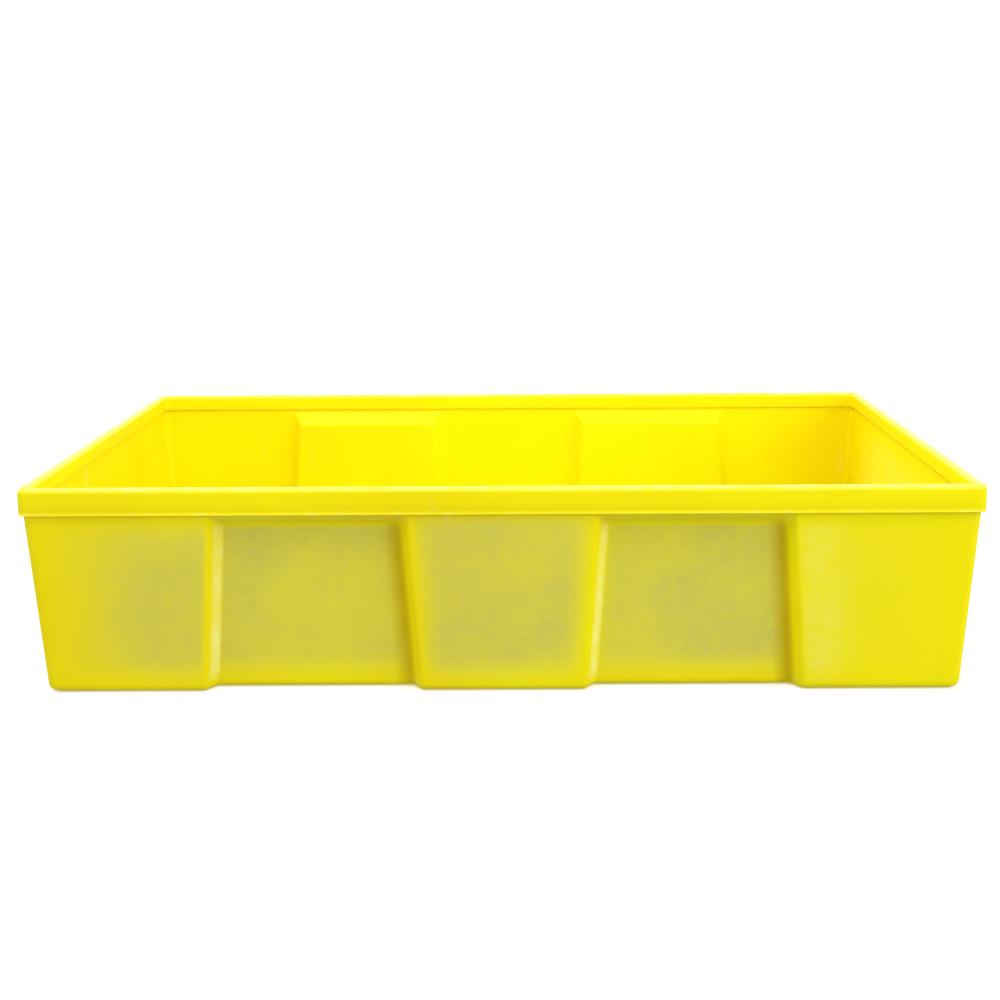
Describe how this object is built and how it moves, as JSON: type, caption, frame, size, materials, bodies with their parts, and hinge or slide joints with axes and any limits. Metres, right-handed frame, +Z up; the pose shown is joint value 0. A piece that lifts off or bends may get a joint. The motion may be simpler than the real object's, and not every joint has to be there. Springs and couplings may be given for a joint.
{
  "type": "spill containment pallet",
  "caption": "Low rectangular spill containment tray with a thick bead rim and recessed wall panels, holding a lift-out slotted deck on push-fit legs.",
  "frame": {"origin": "middle of the underside, on the ground", "axes": "+X along the long side, +Y across it, +Z up"},
  "size_m": [1.3, 0.75, 0.295],
  "materials": {
    "tray_yellow": "satin rotomoulded polyethylene",
    "deck_yellow": "satin moulded polyethylene",
    "leg_black": "satin moulded polyethylene"
  },
  "bodies": {
    "tray": {"sump_tray": "tray_yellow"},
    "deck_left": {"deck_panel_left": "deck_yellow", "deck_leg_left_1": "leg_black", "deck_leg_left_2": "leg_black", "deck_leg_left_3": "leg_black", "deck_leg_left_4": "leg_black", "deck_leg_left_5": "leg_black", "deck_leg_left_6": "leg_black", "deck_leg_left_7": "leg_black", "deck_leg_left_8": "leg_black", "deck_leg_left_9": "leg_black"},
    "deck_right": {"deck_panel_right": "deck_yellow", "deck_leg_right_1": "leg_black", "deck_leg_right_2": "leg_black", "deck_leg_right_3": "leg_black", "deck_leg_right_4": "leg_black", "deck_leg_right_5": "leg_black", "deck_leg_right_6": "leg_black", "deck_leg_right_7": "leg_black", "deck_leg_right_8": "leg_black", "deck_leg_right_9": "leg_black"}
  },
  "joints": [
    {"name": "deck_left_lift", "type": "slide", "parent": "tray", "child": "deck_left", "axis": [0, 0, 1], "range_m": [0, 0.32]},
    {"name": "deck_right_lift", "type": "slide", "parent": "tray", "child": "deck_right", "axis": [0, 0, 1], "range_m": [0, 0.32]}
  ]
}
